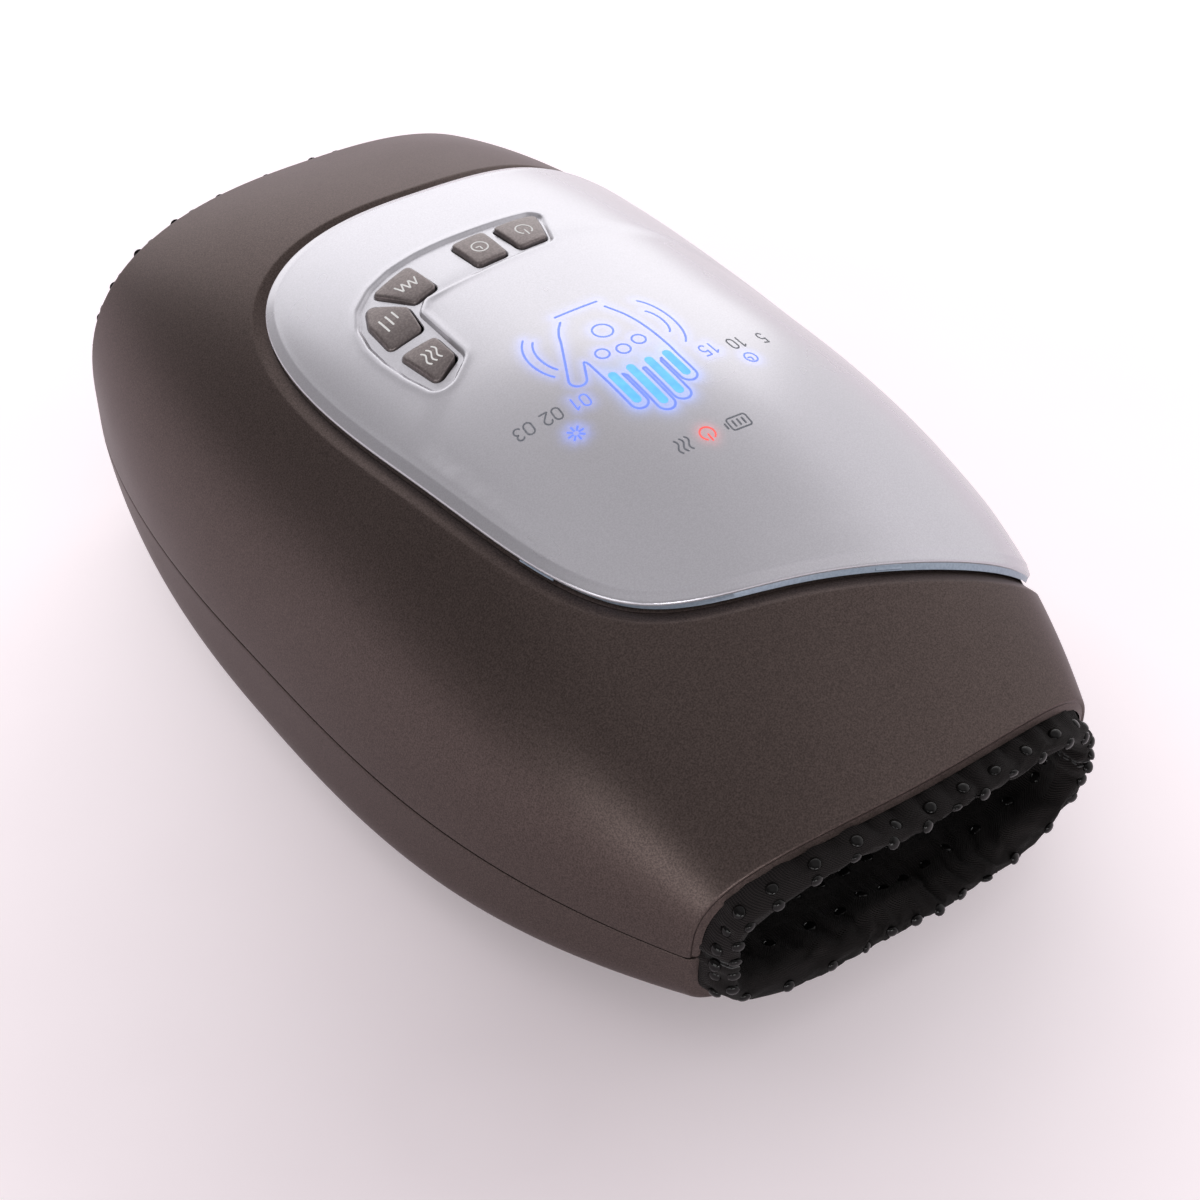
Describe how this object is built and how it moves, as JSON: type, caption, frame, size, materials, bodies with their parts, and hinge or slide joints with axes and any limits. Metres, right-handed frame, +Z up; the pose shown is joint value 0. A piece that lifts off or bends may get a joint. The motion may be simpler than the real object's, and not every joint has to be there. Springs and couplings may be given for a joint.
{
  "type": "hand massager",
  "caption": "Cordless hand massager: a rounded housing around a fabric-lined hand tunnel, with a pale cover panel, push keys and a lit display on top.",
  "frame": {"origin": "centre of the footprint, on the surface that the rubber feet stand on", "axes": "+Z up; +Y along the housing to the finger end, so the hand goes in from -Y; +X to the side where the panel stops short"},
  "size_m": [0.176, 0.2829, 0.1156],
  "materials": {
    "housing_grey": "satin pearl paint",
    "panel_silver": "satin pearl paint",
    "key_grey": "satin",
    "board_green": "satin",
    "dark_plastic": "matte",
    "light_guide_white": "matte",
    "lamp_clear": "gloss",
    "cell_blue": "gloss",
    "socket_steel": "brushed",
    "motor_steel": "satin",
    "pale_plastic": "matte",
    "crank_brass": "satin",
    "foot_rubber": "matte",
    "coil_blue": "matte",
    "hose_rubber": "satin",
    "bag_cloth": "coated cloth",
    "heater_film": "satin",
    "lining_black": "ribbed stretch cloth",
    "dot_silicone": "gloss"
  },
  "bodies": {
    "housing": {"top_shell": "housing_grey", "bottom_shell": "housing_grey", "cover_panel": "panel_silver", "key_board": "board_green", "key_switches": "dark_plastic", "deck": "dark_plastic", "display_board": "board_green", "light_guide": "light_guide_white", "display_leds": "lamp_clear", "main_board": "board_green", "main_chips": "dark_plastic", "buzzer": "dark_plastic", "battery_cells": "cell_blue", "battery_holder": "dark_plastic", "charge_socket": "socket_steel", "charge_board": "board_green", "socket_bracket": "dark_plastic", "pump_motor": "motor_steel", "pump_head": "pale_plastic", "pump_cradle": "foot_rubber", "valve_block": "pale_plastic", "valve_coils": "coil_blue", "air_hoses": "hose_rubber", "upper_air_bag": "bag_cloth", "lower_air_bag": "bag_cloth", "heating_sheet": "heater_film", "fabric_lining": "lining_black", "silicone_dots": "dot_silicone", "finger_collar": "dark_plastic", "entry_collar": "dark_plastic", "rubber_feet": "foot_rubber", "case_screws": "motor_steel", "deck_screws": "motor_steel", "board_screws": "motor_steel"},
    "power_key": {"power_key": "key_grey"},
    "timer_key": {"timer_key": "key_grey"},
    "mode_key": {"mode_key": "key_grey"},
    "intensity_key": {"intensity_key": "key_grey"},
    "heat_key": {"heat_key": "key_grey"},
    "pump_crank": {"pump_crank": "crank_brass"},
    "fill_plunger": {"fill_plunger": "motor_steel"},
    "release_plunger": {"release_plunger": "motor_steel"}
  },
  "joints": [
    {"name": "power_key_press", "type": "slide", "parent": "housing", "child": "power_key", "axis": [0, 0, -1], "range_m": [0, 0.0008], "stiffness_N_per_m": 1000, "springref_m": -0.0003},
    {"name": "timer_key_press", "type": "slide", "parent": "housing", "child": "timer_key", "axis": [0, 0, -1], "range_m": [0, 0.0008], "stiffness_N_per_m": 1000, "springref_m": -0.0003},
    {"name": "mode_key_press", "type": "slide", "parent": "housing", "child": "mode_key", "axis": [0, 0, -1], "range_m": [0, 0.0008], "stiffness_N_per_m": 1000, "springref_m": -0.0003},
    {"name": "intensity_key_press", "type": "slide", "parent": "housing", "child": "intensity_key", "axis": [0, 0, -1], "range_m": [0, 0.0008], "stiffness_N_per_m": 1000, "springref_m": -0.0003},
    {"name": "heat_key_press", "type": "slide", "parent": "housing", "child": "heat_key", "axis": [0, 0, -1], "range_m": [0, 0.0008], "stiffness_N_per_m": 1000, "springref_m": -0.0003},
    {"name": "crank_spin", "type": "hinge", "parent": "housing", "child": "pump_crank", "pos_m": [-0.036, -0.03, 0.0863], "axis": [0, 1, 0], "continuous": true},
    {"name": "fill_plunger_stroke", "type": "slide", "parent": "housing", "child": "fill_plunger", "axis": [0, 0, -1], "range_m": [0, 0.0012], "stiffness_N_per_m": 500, "springref_m": -0.0005},
    {"name": "release_plunger_stroke", "type": "slide", "parent": "housing", "child": "release_plunger", "axis": [0, 0, -1], "range_m": [0, 0.0012], "stiffness_N_per_m": 500, "springref_m": -0.0005}
  ]
}
